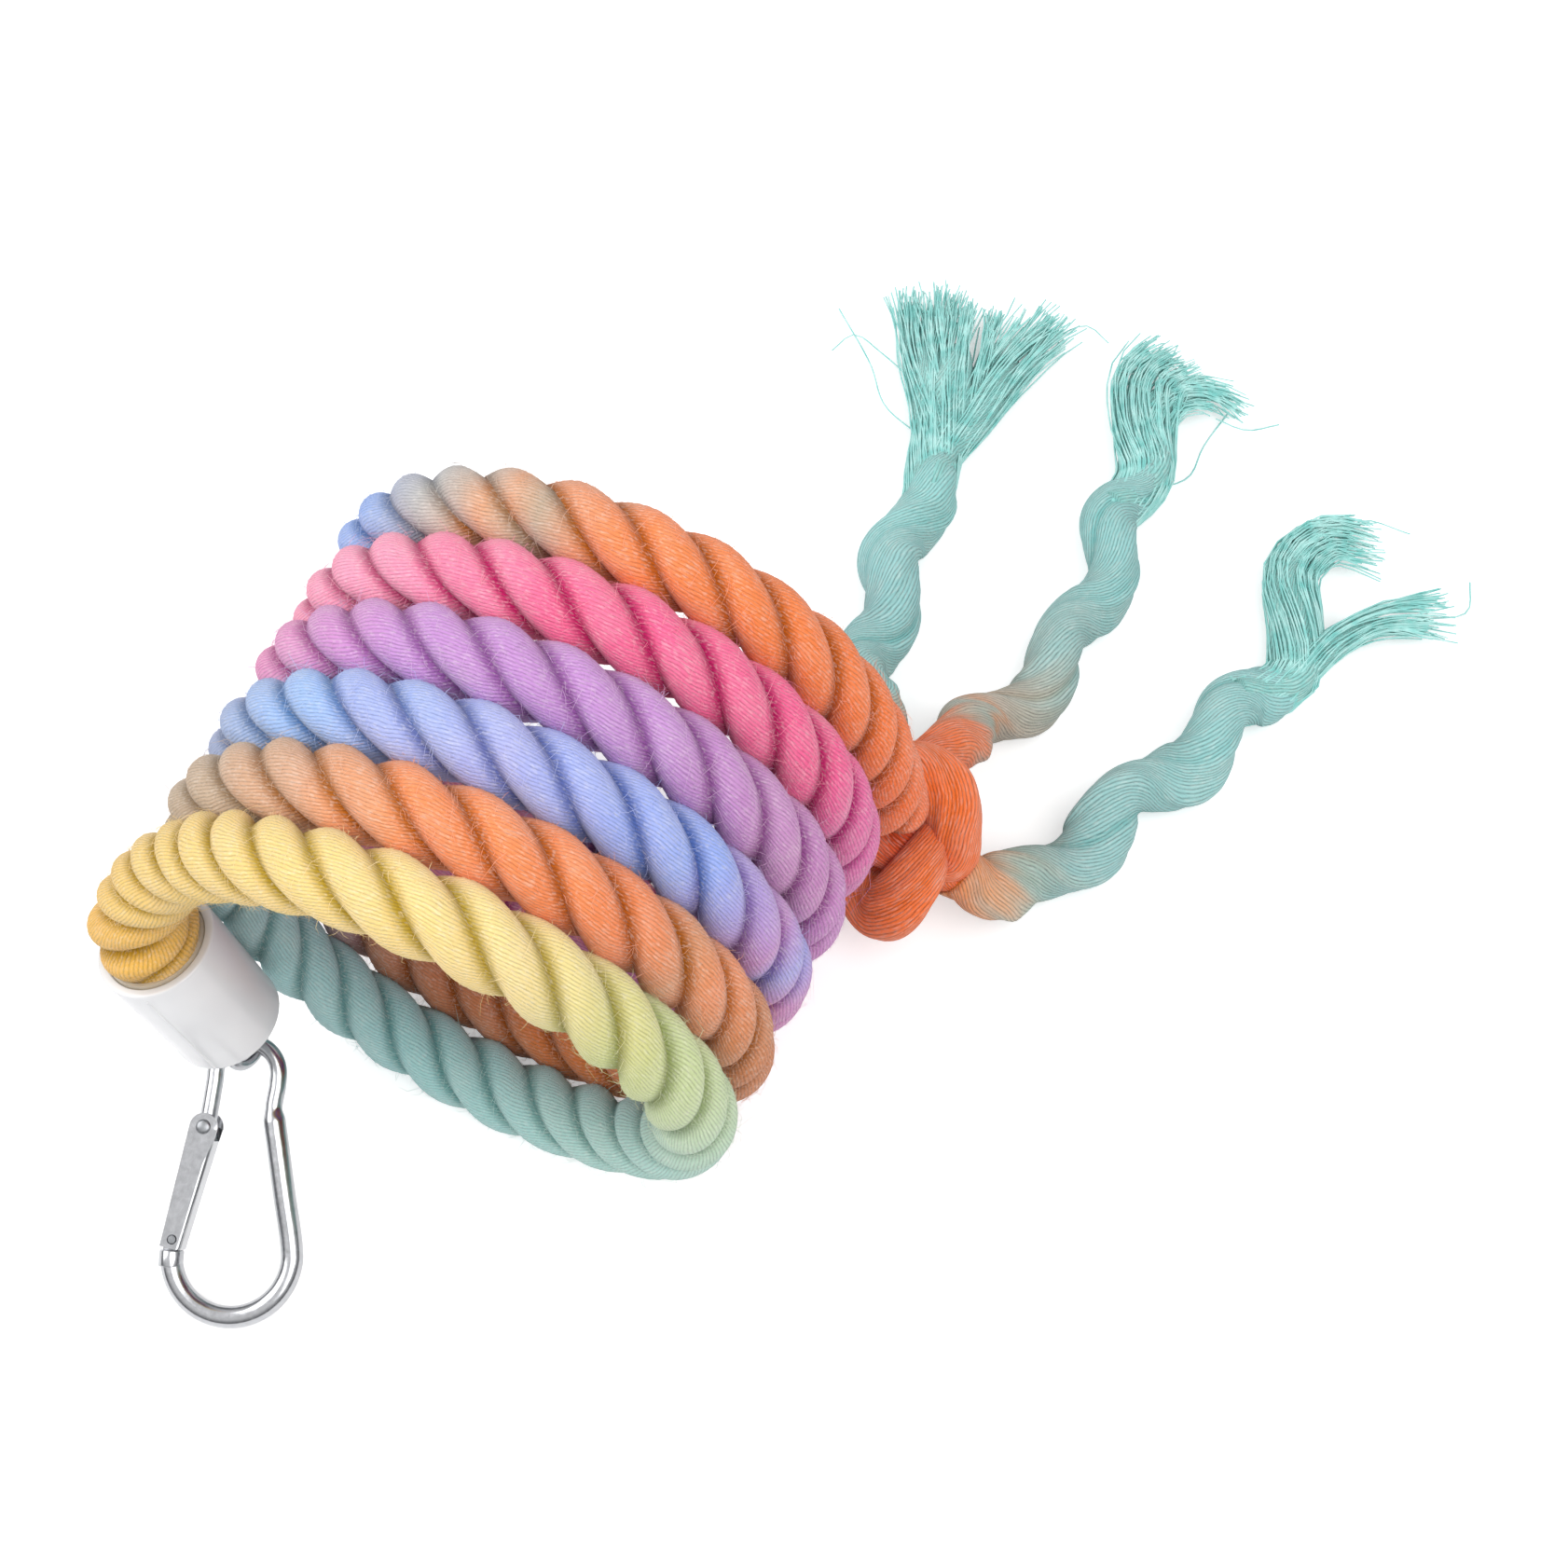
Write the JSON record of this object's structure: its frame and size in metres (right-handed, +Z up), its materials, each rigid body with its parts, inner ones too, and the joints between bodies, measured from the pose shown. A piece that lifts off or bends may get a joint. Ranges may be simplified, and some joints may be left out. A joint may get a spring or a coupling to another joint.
{
  "type": "bird climbing rope",
  "caption": "Spiral climbing rope for cage birds: dyed cotton rope wound into a springy coil, with a snap hook on an end cap at one end and a knot with frayed strands at the other.",
  "frame": {"origin": "on the table under the middle of the whole part's box", "axes": "+X along the coil's axis from the end cap to the knot and the frayed strands, +Y towards the side of the coil where the cap is, +Z up from the table that the part lies on"},
  "size_m": [0.3266, 0.2304, 0.1289],
  "materials": {
    "dyed_cotton_rope": "soft matte three-strand cotton, dyed in bands from yellow through orange, blue, violet and pink to orange",
    "orange_cotton": "soft matte cotton",
    "teal_cotton": "soft matte cotton yarn",
    "core_wire_steel": "plain",
    "white_plastic": "gloss white",
    "clear_glue": "gloss, slightly clear",
    "plated_steel": "bright nickel plate",
    "plain_steel": "plain"
  },
  "bodies": {
    "rope": {"rope_coil": "dyed_cotton_rope", "core_wire": "core_wire_steel", "end_cap": "white_plastic", "glue_bead": "clear_glue", "eye_bolt": "plated_steel", "eye_washer": "plain_steel", "eye_nut": "plain_steel"},
    "hook": {"hook_body": "plated_steel"},
    "gate": {"gate": "plated_steel", "gate_rivet": "plain_steel", "latch_pin": "plain_steel", "gate_spring": "plain_steel"},
    "plunger": {"gate_plunger": "plain_steel"},
    "tail": {"end_knot": "orange_cotton", "strand_a": "teal_cotton", "strand_b": "teal_cotton", "strand_c": "teal_cotton", "frayed_end_a": "teal_cotton", "frayed_end_b": "teal_cotton", "frayed_end_c": "teal_cotton"}
  },
  "joints": [
    {"name": "hook_swing", "type": "hinge", "parent": "rope", "child": "hook", "pos_m": [-0.10863, 0.0899, 0.0215], "axis": [0.3746, -0.9272, 0], "range_deg": [-50, 125]},
    {"name": "gate_swing", "type": "hinge", "parent": "hook", "child": "gate", "pos_m": [-0.12786, 0.09054, 0.01543], "axis": [-0.3027, -0.1223, 0.9452], "range_deg": [0, 25], "stiffness_Nm_per_rad": 0.1, "springref_deg": -17.19},
    {"name": "plunger_slide", "type": "slide", "parent": "gate", "child": "plunger", "axis": [-0.9315, -0.1717, -0.3205], "range_m": [0, 0.001], "deforming": ["gate_spring"]},
    {"name": "coil_stretch", "type": "slide", "parent": "rope", "child": "tail", "axis": [1, 0, 0], "range_m": [0, 0.1], "stiffness_N_per_m": 60, "deforming": ["rope_coil", "core_wire"]}
  ],
  "couplings": [
    {"joint": "plunger_slide", "follows": "gate_swing", "m_per_rad": 0.002}
  ]
}
